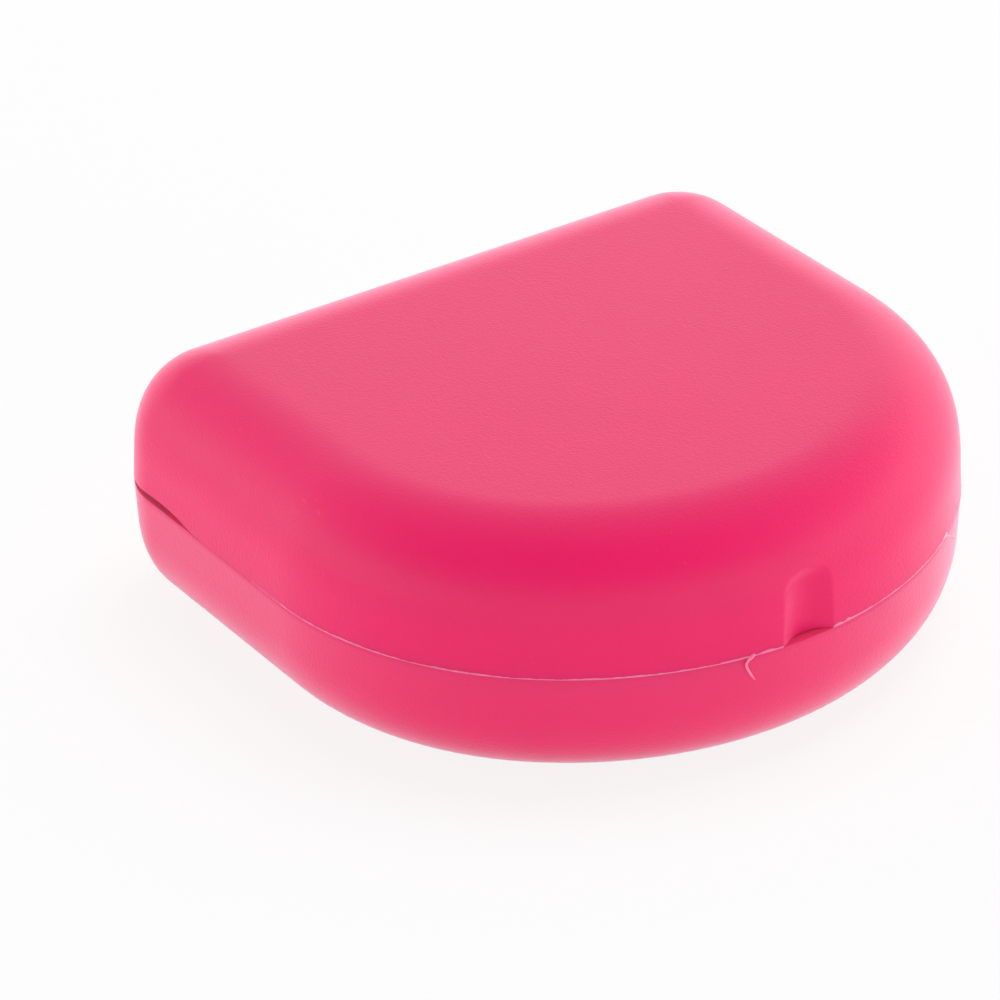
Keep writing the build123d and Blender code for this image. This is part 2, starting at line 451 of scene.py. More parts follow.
@dataclass
class Moulding:
    """What the lid and the base share: a hollow D-shaped tray with a worked rim."""

    name: str
    side: Side
    body: Body
    slot: Slot
    node: str
    profile: WallProfile
    inner_edge: float
    spacing: RowSpacing
    plan: PlanShape = PlanShape()
    scoop: ThumbScoop = ThumbScoop()
    parting_z: float = 14.0 * MM
    wall: float = 1.8 * MM
    rim_round: float = 0.1 * MM
    rim_turns: int = 4
    shy: float = 0.006 * MM
    inner_spacing: RowSpacing = RowSpacing(0.9 * MM, 0.8 * MM, 0.0)
    flat_rings: tuple[float, ...] = (1.2 * MM, 4.0 * MM, 8.0 * MM, 13.0 * MM)
    least_step: float = 0.03
    lift_fade: float = 3.0 * MM
    same_point: float = 0.001 * MM
    sharp_angle: float = math.radians(38)

    def as_ring(self, inset: float, eaten: float, z: float | Rows) -> Rows:
        """A ring of the outline moved in by inset, at one height or at a height for each point."""
        flat = self.plan.ring(inset, eaten)
        return np.column_stack([flat, np.broadcast_to(z, len(flat))])

    @staticmethod
    def between(outer: Rows, inner: Rows, share: float | Rows, z: Rows) -> Rows:
        """A ring at heights z that lies a share of the way from the outer ring to the inner one."""
        flat = outer[:, :2] + share * (inner[:, :2] - outer[:, :2])
        return np.column_stack([flat, z])

    def rim_share(self, ring: Rows, notch_end: float, rear_gap: float, ramp: float) -> Rows:
        """How much of the lip or the rebate there is at each point of the rim, from nearly 0 to 1.

        Args:
            ring: x, y, z rows of the rim.
            notch_end: how far beside the middle of the scoop it begins.
            rear_gap: how far ahead of the flat back it ends.
            ramp: the length over which it begins and ends.

        Returns:
            The share at each point.
        """
        rear_end = self.plan.back_y - rear_gap
        beside = smooth_step(notch_end, notch_end + ramp, np.abs(ring[:, 0]))
        beside = np.where(ring[:, 1] > 0.0, 1.0, beside)
        ahead = 1.0 - smooth_step(rear_end - ramp, rear_end, ring[:, 1])
        return self.least_step + (1.0 - self.least_step) * beside * ahead

    def rim_lift(self, y: Rows) -> Rows:
        """How far the rim stands off the parting plane at each y."""
        return np.zeros_like(y)

    def dent(self, ring: Rows, grow: float = 0.0) -> Rows:
        """Press any local hollow of the moulding into a ring."""
        return ring

    def outer_rings(self) -> list[Rows]:
        """The outside, from the softened rim edge to the middle of the flat.

        Returns:
            The rings in that order.
        """
        rings = []
        for k in range(self.rim_turns):
            turn = math.pi / 2 * k / self.rim_turns
            inset = self.rim_round * (1.0 - math.sin(turn))
            z = self.rim_round * (1.0 - math.cos(turn))
            rings.append(self.lifted(self.as_ring(inset + self.shy, 0.0, z)))
        rows = self.profile.rows(self.shy, self.spacing)
        for z, inset, eaten in rows[rows[:, 0] >= self.rim_round]:
            rings.append(self.lifted(self.as_ring(inset, eaten, z)))
        top_inset, top_eaten = rows[-1, 1], rows[-1, 2]
        for extra in self.flat_rings:
            rings.append(self.as_ring(top_inset + extra, top_eaten, self.profile.height))
        return [self.dent(ring) for ring in rings]

    def lifted(self, ring: Rows) -> Rows:
        """Raise a ring near the rim by the rim's own lift, which fades out up the wall."""
        lift = self.rim_lift(ring[:, 1]) * np.clip(1.0 - ring[:, 2] / self.lift_fade, 0.0, 1.0)
        return ring + np.column_stack([np.zeros((len(ring), 2)), lift])

    def inner_rings(self) -> list[Rows]:
        """The inside, from the rim to the middle of the flat.

        Returns:
            The rings in that order.
        """
        outer = self.profile
        inner = WallProfile(outer.height - self.wall, outer.draft, self.inner_edge, outer.power)
        rows = inner.rows(self.wall, self.inner_spacing)
        rings = [self.as_ring(inset, eaten + self.wall, z) for z, inset, eaten in rows]
        for extra in self.flat_rings:
            rings.append(self.as_ring(rows[-1, 1] + extra, rows[-1, 2] + self.wall, inner.height))
        return rings

    def rim_rings(self, outer: Rows, inner: Rows) -> list[Rows]:
        """The rim between the outside's first ring and the inside's first ring.

        Args:
            outer: the outside's first ring.
            inner: the inside's first ring.

        Returns:
            The rings from the inside to the outside.
        """
        raise NotImplementedError

    def arm_places(self) -> list[float]:
        """The x of each hinge arm's middle."""
        raise NotImplementedError

    def build(self, arm: HingeArm, arm_width: float, arm_start: float) -> bpy.types.Object:
        """Make the whole moulding as one object that rides on its body.

        Args:
            arm: the shape of a hinge arm.
            arm_width: how wide each arm is.
            arm_start: the height where each arm's web begins.

        Returns:
            The object.
        """
        outer = self.outer_rings()
        inner = self.inner_rings()
        rings = [*outer[::-1], *self.rim_rings(outer[0], inner[0])[::-1], *inner]
        shell = skin(self.name, rings, self.side, self.parting_z)
        arms = arm.mesh(self.name + "_arm", arm_width, self.plan.back_y, arm_start)
        whole = bmesh.new()
        whole.from_mesh(shell)
        for x in self.arm_places():
            one = bmesh.new()
            one.from_mesh(arms)
            bmesh.ops.remove_doubles(one, verts=one.verts, dist=self.same_point)
            turn = Matrix.Diagonal((1, 1, self.side.value, 1))
            place = Matrix.Translation((x, 0, self.parting_z)) @ turn
            bmesh.ops.transform(one, matrix=place, verts=one.verts)
            placed = as_mesh("placed", one)
            whole.from_mesh(placed)
            bpy.data.meshes.remove(placed)
        whole.to_mesh(shell)
        whole.free()
        shell.set_sharp_from_angle(angle=self.sharp_angle)
        bpy.data.meshes.remove(arms)
        piece = linked(self.name, shell)
        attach(piece, self.body.value)
        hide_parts(self.node)
        log.info("%s: %d faces", self.name, len(shell.polygons))
        return piece


@dataclass
class LidMoulding(Moulding):
    """The upper half, with the thumb scoop, the lip, the snap beads and the rim relief."""

    lip_thickness: float = 0.8 * MM
    lip_depth: float = 1.4 * MM
    lip_rear_gap: float = 14.5 * MM
    lip_end_clearance: float = 0.4 * MM
    lip_ramp: float = 0.5 * MM
    bead_proud: float = 0.25 * MM
    bead_height: float = 0.6 * MM
    bead_drop: float = 0.7 * MM
    bead_start: float = 7.1 * MM
    bead_length: float = 8.0 * MM
    relief_height: float = 0.45 * MM
    relief_start: float = 19.2 * MM
    relief_full: float = 15.6 * MM
    relief_swell: float = 0.42 * MM
    relief_swell_y: float = 24.6 * MM
    relief_swell_half: float = 4.6 * MM
    knuckle_x: float = 20.0 * MM
    seat_gap: float = 0.01 * MM
    lip_rows: int = 12
    lip_inner_steps: tuple[float, ...] = (0.5, 0.92)
    lip_tip: float = 0.15
    lip_outer_end: float = 0.94
    land_share: float = 0.55

    def rim_lift(self, y: Rows) -> Rows:
        """The gap under the rear rim, which opens towards the hinges.

        Args:
            y: where along the case.

        Returns:
            The lift at each y.
        """
        back = self.plan.back_y
        open_share = smooth_step(back - self.relief_start, back - self.relief_full, y)
        swell = self.relief_swell * np.exp(-(((y - self.relief_swell_y) / self.relief_swell_half) ** 2))
        return self.seat_gap + open_share * (self.relief_height - self.seat_gap + swell)

    def dent(self, ring: Rows, grow: float = 0.0) -> Rows:
        """Press the thumb scoop, or the plastic behind it, into a ring."""
        return self.scoop.press(ring, self.plan.front_y, grow)

    def inner_rings(self) -> list[Rows]:
        """The inside, with the thicker plastic behind the scoop and the rear rim's lift."""
        rings = [self.lifted(ring) for ring in super().inner_rings()]
        return [self.dent(ring, self.scoop.backing) for ring in rings]

    def bead(self, ring: Rows, depth: float) -> Rows:
        """How far the snap beads stand out of the lip.

        Args:
            ring: x, y, z rows of the lip.
            depth: the rings' depth below the parting plane.

        Returns:
            The bead's height at each point.
        """
        end = self.bead_start + self.bead_length
        run = run_between(self.bead_start, end, self.lip_ramp, np.abs(ring[:, 0])) * (ring[:, 1] < 0.0)
        ridge = max(0.0, 1.0 - abs(depth - self.bead_drop) / (self.bead_height / 2))
        return self.bead_proud * ridge * run

    def rim_rings(self, outer: Rows, inner: Rows) -> list[Rows]:
        """The lip's inner face, tip and outer face, then the land out to the rim's edge.

        Args:
            outer: the outside's first ring.
            inner: the inside's first ring.

        Returns:
            The rings from the inside to the outside.
        """
        notch_end = self.scoop.radius + self.scoop.backing + self.lip_end_clearance
        share = self.rim_share(outer, notch_end, self.lip_rear_gap, self.lip_ramp)
        land = self.rim_lift(outer[:, 1])
        lip_out = 1.0 - self.lip_thickness / self.wall
        away = outer[:, :2] - inner[:, :2]
        away = away / np.linalg.norm(away, axis=1)[:, None]
        steps = [(1.0, down) for down in self.lip_inner_steps]
        steps += [(1.0 - self.lip_tip * lip_out, 1.0), (lip_out + self.lip_tip * lip_out, 1.0)]
        rings = []
        for along, down in steps:
            rings.append(self.between(outer, inner, along, land - share * down * (self.lip_depth + land)))
        for k in range(self.lip_rows, -1, -1):
            down = self.lip_outer_end * k / self.lip_rows
            ring = self.between(outer, inner, lip_out, land - share * down * (self.lip_depth + land))
            ring[:, :2] += away * self.bead(ring, down * self.lip_depth)[:, None]
            rings.append(ring)
        rings.append(self.between(outer, inner, lip_out * self.land_share, land))
        return rings

    def arm_places(self) -> list[float]:
        """One knuckle for each hinge."""
        return [-self.knuckle_x, self.knuckle_x]


@dataclass
class BaseMoulding(Moulding):
    """The lower half, with the rebate that takes the lid's lip."""

    rebate_inset: float = 0.88 * MM
    rebate_depth: float = 1.65 * MM
    rebate_rear_gap: float = 14.1 * MM
    ramp: float = 0.4 * MM
    groove_start: float = 7.0 * MM
    groove_end: float = 15.2 * MM
    groove_deep: float = 0.25 * MM
    # Rings up the rebate's wall: how far beyond it, the share of its depth, and the groove's share
    wall_steps: tuple[Triple, ...] = (
        (0.02, 1.0, 0.0),
        (0.0, 0.96, 0.0),
        (0.0, 0.63, 0.0),
        (0.0, 0.424, 1.0),
        (0.0, 0.22, 0.0),
        (0.0, 0.04, 0.0),
    )
    land_back: float = 0.1
    ear_x: tuple[float, ...] = (15.9 * MM, 24.1 * MM)

    def rebate(self, ring: Rows) -> Rows:
        """How deep the rebate is at each point of the rim."""
        notch_end = self.scoop.radius + self.scoop.backing
        return self.rim_share(ring, notch_end, self.rebate_rear_gap, self.ramp) * self.rebate_depth

    def inner_rings(self) -> list[Rows]:
        """The inside, whose first ring is the foot of the rebate.

        Returns:
            The rings from the rim to the middle of the flat.
        """
        rings = super().inner_rings()
        floor = self.rebate(rings[0])
        for ring in rings:
            ring[:, 2] = np.maximum(ring[:, 2], floor * (1.0 + ring[:, 2] / self.profile.height))
        return rings

    def rim_rings(self, outer: Rows, inner: Rows) -> list[Rows]:
        """The rebate's floor, its wall with the snap grooves, then the land out to the rim's edge.

        Args:
            outer: the outside's first ring.
            inner: the inside's first ring.

        Returns:
            The rings from the inside to the outside.
        """
        depth = self.rebate(outer)
        share = self.rebate_inset / self.wall
        run = run_between(self.groove_start, self.groove_end, self.ramp, np.abs(outer[:, 0]))
        run = run * (outer[:, 1] < 0.0)
        rings = []
        for beyond, down, groove in (*self.wall_steps, (-self.land_back * share, 0.0, 0.0)):
            along = share + beyond - groove * run * self.groove_deep / self.wall
            rings.append(self.between(outer, inner, along[:, None], depth * down))
        return rings

    def arm_places(self) -> list[float]:
        """Two ears for each hinge."""
        return [side * x for side in (-1, 1) for x in self.ear_x]


class Shader:
    """A small helper that adds and links nodes in one node tree."""

    def __init__(self, tree: bpy.types.NodeTree) -> None:
        """Start with an empty tree."""
        self.tree = tree
        self.tree.nodes.clear()

    @classmethod
    def on_new_material(cls, name: str) -> tuple[bpy.types.Material, "Shader"]:
        """Start a material.

        Args:
            name: the material's name.

        Returns:
            The material and the helper for its nodes.
        """
        material = bpy.data.materials.new(name)
        material.use_nodes = True
        return material, cls(material.node_tree)

    def feed(self, target: Socket, value: object) -> None:
        """Link an output to an input, or set the input's value.

        Args:
            target: the input.
            value: an output, or a plain value.
        """
        if isinstance(value, Socket):
            self.tree.links.new(value, target)
        else:
            target.default_value = value

    def node(self, kind: str, *terms: object, **values: object) -> bpy.types.Node:
        """Add a node.

        Args:
            kind: the node's type, without its usual first word.
            terms: what its first inputs get, in order.
            values: settings, and what inputs get by name, with _ for a space.

        Returns:
            The node.
        """
        made = self.tree.nodes.new(kind if kind.startswith("Node") else "ShaderNode" + kind)
        for name, value in values.items():
            if hasattr(made, name):
                setattr(made, name, value)
            else:
                self.feed(made.inputs[name.replace("_", " ")], value)
        for socket, term in zip(made.inputs, terms):
            self.feed(socket, term)
        return made

    def maths(self, operation: str, *terms: float | Socket, clamp: bool = False) -> Socket:
        """The result of a Math node, kept from 0 to 1 if clamp is set."""
        return self.node("Math", *terms, operation=operation, use_clamp=clamp).outputs[0]

    def dot(self, source: Socket, direction: Triple) -> Socket:
        """The dot product of a vector output with a fixed direction."""
        return self.node("VectorMath", source, direction, operation="DOT_PRODUCT").outputs["Value"]

    def ramp(self, value: Socket, start: Pair, end: Pair = (0.0, 1.0)) -> Socket:
        """Map the start range of a value to the end range."""
        return self.node("MapRange", value, *start, *end).outputs["Result"]

    def mix(self, factor: Socket, first: Triple | Socket, second: Triple) -> Socket:
        """Mix two colours, where factor is the second one's share."""
        first = first if isinstance(first, Socket) else (*first, 1.0)
        return self.node("Mix", data_type="RGBA", Factor=factor, A=first, B=(*second, 1.0)).outputs["Result"]

    def grained(
        self,
        group: bpy.types.NodeTree,
        scale: float,
        roughness: Pair,
        strength: float,
        height: float,
    ) -> tuple[Socket, dict[str, Socket]]:
        """Lay the mould grain over a surface.

        Args:
            group: the grain's node group.
            scale: how fine the grain is.
            roughness: the surface's range of roughness.
            strength: how clearly the grain shows.
            height: how deep the grain is.

        Returns:
            The grain's mask, and what the surface shader takes by name.
        """
        place = self.node("TexCoord").outputs["Object"]
        grain = self.node("Group", node_tree=group, Vector=place, Scale=scale).outputs
        bump = self.node("Bump", Strength=strength, Distance=height, Height=grain["Height"])
        matte = self.ramp(grain["Mask"], (0.0, 1.0), roughness)
        return grain["Mask"], {"Roughness": matte, "Normal": bump.outputs["Normal"]}

    def surface(self, **values: object) -> None:
        """Add the surface shader, with its values by name, and lead it out."""
        skin_shader = self.node("BsdfPrincipled", **values)
        self.node("OutputMaterial", skin_shader.outputs["BSDF"])

    def white_when_seen(self, lit: Socket, white: Socket, camera_share: float, out: str) -> None:
        """Show white to camera, glossy and transmission rays, and the lit shader to all others.

        Args:
            lit: the shader that takes part in the light.
            white: the shader that is plain white.
            camera_share: how much of the white a camera ray sees.
            out: the output node's type.
        """
        rays = self.node("LightPath").outputs
        either = self.maths("MAXIMUM", rays["Is Glossy Ray"], rays["Is Transmission Ray"])
        camera = self.maths("MULTIPLY", rays["Is Camera Ray"], camera_share)
        both = self.node("MixShader", self.maths("MAXIMUM", camera, either), lit, white)
        self.node(out, both.outputs["Shader"])


class EffectGroups:
    """The surface effects that more than one finish uses, each a node group built once."""

    grain_scale: float = 3000.0
    ripple: float = 0.35
    ripple_share: float = 0.22
    drift_scale: float = 28.0
    drift_range: Pair = (0.3, 0.7)
    speck_scale: float = 2600.0
    speck_amount: float = 0.3
    speck_stretch: Triple = (1.0, 0.25, 1.0)
    speck_turn: Triple = (0.0, 0.0, 0.6)
    speck_range: Pair = (0.74, 0.80)
    patch_scale: float = 90.0
    patch_range: Pair = (0.5, 0.65)

    def __init__(self) -> None:
        """Build every group."""
        self.grain = self._grain()
        self.drift = self._drift()
        self.scuffs = self._scuffs()

    @staticmethod
    def _new(name: str, inputs: dict[str, float], outputs: tuple[str, ...]) -> tuple[Shader, object, object]:
        """Start a group with its sockets.

        Args:
            name: the group's name.
            inputs: float inputs and their defaults; a Vector input is always added.
            outputs: float outputs.

        Returns:
            The helper, what comes in, and where the results leave.
        """
        group = bpy.data.node_groups.new(name, "ShaderNodeTree")
        group.interface.new_socket(name="Vector", in_out="INPUT", socket_type="NodeSocketVector")
        for key, value in inputs.items():
            made = group.interface.new_socket(name=key, in_out="INPUT", socket_type="NodeSocketFloat")
            made.default_value = value
        for key in outputs:
            group.interface.new_socket(name=key, in_out="OUTPUT", socket_type="NodeSocketFloat")
        shader = Shader(group)
        return shader, shader.node("NodeGroupInput").outputs, shader.node("NodeGroupOutput").inputs

    def _grain(self) -> bpy.types.NodeTree:
        """Spark-eroded mould grain: fine, even, rounded bumps with a coarser ripple under them.

        Returns:
            The group, whose outputs are a height and a mask.
        """
        inputs = {"Scale": self.grain_scale, "Ripple": self.ripple}
        shader, come, leave = self._new("mould_grain", inputs, ("Height", "Mask"))
        place, scale = come["Vector"], come["Scale"]
        fine = shader.node("TexNoise", Vector=place, Scale=scale, Detail=1.0, Roughness=0.5)
        cells = shader.node("TexVoronoi", feature="SMOOTH_F1", Vector=place, Scale=scale, Smoothness=0.8)
        coarse = shader.maths("MULTIPLY", scale, self.ripple_share)
        ripple = shader.node("TexNoise", Vector=place, Scale=coarse, Detail=2.0)
        both = shader.maths("ADD", fine.outputs["Fac"], cells.outputs["Distance"])
        mixed = shader.maths("MULTIPLY_ADD", ripple.outputs["Fac"], come["Ripple"], both)
        shader.feed(leave["Height"], mixed)
        shader.feed(leave["Mask"], fine.outputs["Fac"])
        return shader.tree

    def _drift(self) -> bpy.types.NodeTree:
        """Slow flow marks left where the plastic filled the mould.

        Returns:
            The group, whose output is a mask.
        """
        shader, come, leave = self._new("flow_drift", {"Scale": self.drift_scale}, ("Mask",))
        place, scale = come["Vector"], come["Scale"]
        cloud = shader.node("TexNoise", Vector=place, Scale=scale, Detail=3.0, Distortion=0.6)
        shader.feed(leave["Mask"], shader.ramp(cloud.outputs["Fac"], self.drift_range))
        return shader.tree

    def _scuffs(self) -> bpy.types.NodeTree:
        """Sparse pale specks and short rubs from handling.

        Returns:
            The group, whose output is a mask.
        """
        inputs = {"Scale": self.speck_scale, "Amount": self.speck_amount}
        shader, come, leave = self._new("handling_scuffs", inputs, ("Mask",))
        place = come["Vector"]
        rubs = shader.node("Mapping", Vector=place, Scale=self.speck_stretch, Rotation=self.speck_turn)
        specks = shader.node("TexNoise", Vector=rubs.outputs["Vector"], Scale=come["Scale"], Detail=0.0)
        patch = shader.node("TexNoise", Vector=place, Scale=self.patch_scale, Detail=1.0)
        keep = shader.ramp(specks.outputs["Fac"], self.speck_range)
        where = shader.ramp(patch.outputs["Fac"], self.patch_range)
        both = shader.maths("MULTIPLY", keep, where)
        shader.feed(leave["Mask"], shader.maths("MULTIPLY", both, come["Amount"]))
        return shader.tree


@dataclass(frozen=True)
class PinkPlastic:
    """Matte, slightly translucent polypropylene with a spark-eroded grain."""

    name: str
    colour: Triple = (0.832, 0.006, 0.130)
    drift_colour: Triple = (0.852, 0.008, 0.138)
    scuff_colour: Triple = (0.88, 0.12, 0.25)
    roughness: Pair = (0.36, 0.48)
    gloss: float = 0.35
    haze: float = 0.72
    haze_colour: Triple = (1.0, 0.74, 0.9)
    haze_spread: float = 0.33
    grain_scale: float = 3500.0
    grain_strength: float = 0.9
    grain_height: float = 0.02 * MM
    glow: float = 0.45
    glow_depth: float = 1.4 * MM
    glow_reach: Triple = (1.0, 0.25, 0.4)
    bending: float = 1.49
    scuff_amount: float = 0.12

    def make(self, effects: EffectGroups) -> bpy.types.Material:
        """Build the material.

        Args:
            effects: the shared node groups.

        Returns:
            The material.
        """
        material, shader = Shader.on_new_material(self.name)
        _, grain = shader.grained(
            effects.grain, self.grain_scale, self.roughness, self.grain_strength, self.grain_height
        )
        place = shader.node("TexCoord").outputs["Object"]
        drift = shader.node("Group", node_tree=effects.drift, Vector=place).outputs["Mask"]
        scuffs = shader.node("Group", node_tree=effects.scuffs, Vector=place, Amount=self.scuff_amount)
        tint = shader.mix(drift, self.colour, self.drift_colour)
        shader.surface(
            Base_Color=shader.mix(scuffs.outputs["Mask"], tint, self.scuff_colour),
            Subsurface_Weight=self.glow,
            Subsurface_Radius=self.glow_reach,
            Subsurface_Scale=self.glow_depth,
            IOR=self.bending,
            Specular_IOR_Level=self.gloss,
            Sheen_Weight=self.haze,
            Sheen_Roughness=self.haze_spread,
            Sheen_Tint=(*self.haze_colour, 1.0),
            **grain,
        )
        return material


@dataclass(frozen=True)
class DrawnSteel:
    """The hinge pins' wire, with fine marks along it."""

    name: str = "drawn_steel"
    colour: Triple = (0.56, 0.55, 0.54)
    worn_colour: Triple = (0.42, 0.41, 0.40)
    roughness: Pair = (0.22, 0.45)
    grain_scale: float = 5200.0
    grain_strength: float = 0.2
    grain_height: float = 0.01 * MM

    def make(self, effects: EffectGroups) -> bpy.types.Material:
        """Build the material.

        Args:
            effects: the shared node groups.

        Returns:
            The material.
        """
        material, shader = Shader.on_new_material(self.name)
        mask, grain = shader.grained(
            effects.grain, self.grain_scale, self.roughness, self.grain_strength, self.grain_height
        )
        shader.surface(Base_Color=shader.mix(mask, self.colour, self.worn_colour), Metallic=1.0, **grain)
        return material


@dataclass
class HingePin:
    """A plain wire pin with chamfered ends."""

    name: str
    node: str
    radius: float = 0.75 * MM
    chamfer: float = 0.15 * MM
    turns: int = 40

    def build(self) -> bpy.types.Object:
        """Make the pin where its node lies.

        Returns:
            The object.
        """
        low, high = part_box(self.node)
        middle = (low + high) / 2
        half = (high.x - low.x) / 2
        sections = [(-half, -1), (-half + self.chamfer, 0), (half - self.chamfer, 0), (half, -1)]
        rows = []
        for x, inward in sections:
            radius = self.radius + inward * self.chamfer
            ring = [(radius * math.cos(a), radius * math.sin(a)) for a in around(self.turns)]
            rows.append([(middle.x + x, middle.y + y, middle.z + z) for y, z in ring])
        made = bmesh.new()
        tube(made, rows)
        mesh = as_mesh(self.name, made)
        piece = linked(self.name, mesh)
        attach(piece, Body.BASE.value)
        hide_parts(self.node)
        log.info("%s: %d faces", self.name, len(mesh.polygons))
        return piece


@dataclass(frozen=True)
class Swelling:
    """A place where the fin of flash is thicker: its x, its half length and what it adds, all in mm."""

    x: float
    half_length: float
    proud: float
    height: float


@dataclass(frozen=True)
class Thread:
    """A hair of flash: its points and end radii in mm, and whether it takes the pale colour that is a
    painted highlight.
    """

    points: tuple[Triple, ...]
    first_radius: float
    last_radius: float
    painted_highlight: bool = False


@dataclass
class PartingFlash:
    """Thin plastic squeezed out at the parting line: an uneven fin and a few hairs."""

    lid: LidMoulding
    name: str = "parting_flash"
    step: float = 0.14 * MM
    buried: float = 0.2 * MM
    gap_below: float = 0.015 * MM
    proud: float = 0.06 * MM
    height: float = 0.16 * MM
    left_end_y: float = 7.0 * MM
    right_end_y: float = -2.0 * MM
    front_limit: float = -36.48 * MM
    side_limit: float = 39.98 * MM
    fade: float = 5.0 * MM
    scoop_clear: float = 3.1 * MM
    swellings: tuple[Swelling, ...] = (
        Swelling(-5.1, 0.95, 0.07, 0.20),
        Swelling(3.8, 0.5, 0.05, 0.16),
        Swelling(5.2, 0.45, 0.08, 0.18),
        Swelling(22.3, 1.1, 0.10, 0.20),
        Swelling(-33.0, 1.6, 0.03, 0.05),
        Swelling(-16.0, 2.4, 0.03, 0.05),
        Swelling(13.0, 1.8, 0.03, 0.05),
    )
    threads: tuple[Thread, ...] = (
        Thread(
            (
                (-6.6, -35.78, 14.14),
                (-6.95, -36.02, 14.12),
                (-7.38, -36.02, 13.9),
                (-7.68, -35.98, 13.5),
                (-7.60, -35.98, 13.0),
                (-7.30, -36.03, 12.4),
                (-6.98, -36.05, 11.8),
                (-6.58, -36.08, 11.2),
            ),
            first_radius=0.2,
            last_radius=0.1,
        ),
        Thread(
            ((22.6, -29.72, 14.1), (23.05, -29.55, 14.16), (23.6, -29.25, 14.26), (24.05, -28.98, 14.38)),
            first_radius=0.14,
            last_radius=0.11,
            painted_highlight=True,
        ),
        Thread(
            ((23.7, -29.0, 14.16), (23.95, -29.35, 14.14), (24.2, -29.75, 14.06), (24.45, -30.15, 13.98)),
            first_radius=0.15,
            last_radius=0.11,
            painted_highlight=True,
        ),
        Thread(((-39.74, 17.1, 14.12), (-39.78, 17.5, 14.1), (-39.77, 17.9, 14.16)), 0.11, 0.14),
    )
    # The fin's section, in shares of how far it stands out and of its height
    section: tuple[Pair, ...] = ((0.0, 0.0), (1.0, 0.25), (0.8, 0.7), (0.0, 1.0))
    # How far the fin stands out and how high it is: the least, and what its unevenness adds
    proud_range: Pair = (0.3, 1.0)
    height_range: Pair = (0.45, 0.75)
    thinnest_end: float = 0.05
    # The fin's waves: how often in a wave length, where it starts, and its size
    waves: tuple[Triple, ...] = (
        (0.73, 0.3, 1.0),
        (1.91, 1.7, 0.7),
        (4.37, 4.1, 0.55),
        (9.1, 2.2, 0.4),
        (17.3, 5.0, 0.25),
    )
    wave_length: float = 10.0 * MM
    wave_share: float = 0.35
    # A hair's thickness: how much it varies, how fast and from where
    wobble: Triple = (0.14, 9.0, 1.0)
    tip_share: float = 0.35
    tip_taper: float = 4.0
    thread_turns: int = 8
    thread_steps: int = 6

    def rim_path(self) -> Rows:
        """The lid's rim from its left end round the front to its right end, evenly spaced.

        Returns:
            x and y rows.
        """
        half = self.lid.plan.half_ring(0.0, self.lid.plan.corner_radius)
        right = half[half[:, 1] < self.right_end_y]
        left = half[half[:, 1] < self.left_end_y][1:][::-1] * np.array([-1.0, 1.0])
        path = np.concatenate([left, right])
        length = along_path(path)
        marks = np.arange(0.0, length[-1], self.step)
        return np.stack([np.interp(marks, length, path[:, k]) for k in range(2)], axis=1)

    def unevenness(self, along: Rows) -> Rows:
        """A wandering value from 0 to 1 along the rim.

        Args:
            along: distance along the rim.

        Returns:
            The value at each place.
        """
        turns = TURN * along
        waves = [size * np.sin(turns * rate / self.wave_length + start) for rate, start, size in self.waves]
        return np.clip(0.5 + self.wave_share * sum(waves), 0.0, 1.0)

    def fin(self) -> bmesh.types.BMesh:
        """The fin along the lid's rim, in two stretches that leave the scoop free.

        Returns:
            The fin's mesh.
        """
        path = self.rim_path()
        along = np.arange(len(path)) * self.step
        wander = self.unevenness(along)
        tangent = np.gradient(path, axis=0)
        tangent /= np.linalg.norm(tangent, axis=1)[:, None]
        outward = np.stack([tangent[:, 1], -tangent[:, 0]], axis=1)
        ends = np.minimum(along, along[-1] - along) / self.fade
        ends = np.clip(ends, self.thinnest_end, 1.0)
        proud = self.proud * (self.proud_range[0] + self.proud_range[1] * wander) * ends
        height = self.height * (self.height_range[0] + self.height_range[1] * wander) * ends
        for lump in self.swellings:
            away = (path[:, 0] - lump.x * MM) / (lump.half_length * MM)
            near = np.exp(-(away**2)) * (path[:, 1] < 0.0)
            proud += lump.proud * MM * near
            height += lump.height * MM * near
        low = self.lid.parting_z + self.gap_below
        made = bmesh.new()
        for stretch in (path[:, 0] < -self.scoop_clear, path[:, 0] > self.scoop_clear):
            rows = []
            for k in np.flatnonzero(stretch):
                middle = [(out * proud[k], up * height[k]) for out, up in self.section]
                spots = []
                for out, up in ((-self.buried, 0.0), *middle, (-self.buried, height[k])):
                    x, y = path[k] + outward[k] * out
                    x = float(np.clip(x, -self.side_limit, self.side_limit))
                    spots.append((x, max(y, self.front_limit), low + up))
                rows.append(spots)
            tube(made, rows)
        return made

    def hair(self, made: bmesh.types.BMesh, thread: Thread) -> None:
        """Add one hair of flash.

        Args:
            made: the mesh that takes it.
            thread: where it runs.
        """
        knots = np.array(thread.points) * MM
        count = (len(knots) - 1) * self.thread_steps + 1
        marks = np.linspace(0.0, len(knots) - 1.0, count)
        line = np.stack([np.interp(marks, np.arange(len(knots)), knots[:, k]) for k in range(3)], axis=1)
        for _ in range(self.thread_steps):
            line[1:-1] = 0.25 * line[:-2] + 0.5 * line[1:-1] + 0.25 * line[2:]
        side = Vector((0.0, 0.0, 1.0)).cross(Vector(line[1] - line[0])).normalized()
        rows = []
        for k in range(count):
            ahead = Vector(line[min(k + 1, count - 1)] - line[max(k - 1, 0)]).normalized()
            side = (side - ahead * side.dot(ahead)).normalized()
            other = ahead.cross(side)
            share = k / (count - 1)
            radius = (thread.first_radius + (thread.last_radius - thread.first_radius) * share) * MM
            radius *= 1.0 + self.wobble[0] * math.sin(self.wobble[1] * share + self.wobble[2])
            radius *= min(1.0, self.tip_share + self.tip_taper * (1.0 - share))
            ring = [(side * math.cos(a) + other * math.sin(a)) * radius for a in around(self.thread_turns)]
            rows.append([Vector(line[k]) + spoke for spoke in ring])
        tube(made, rows)

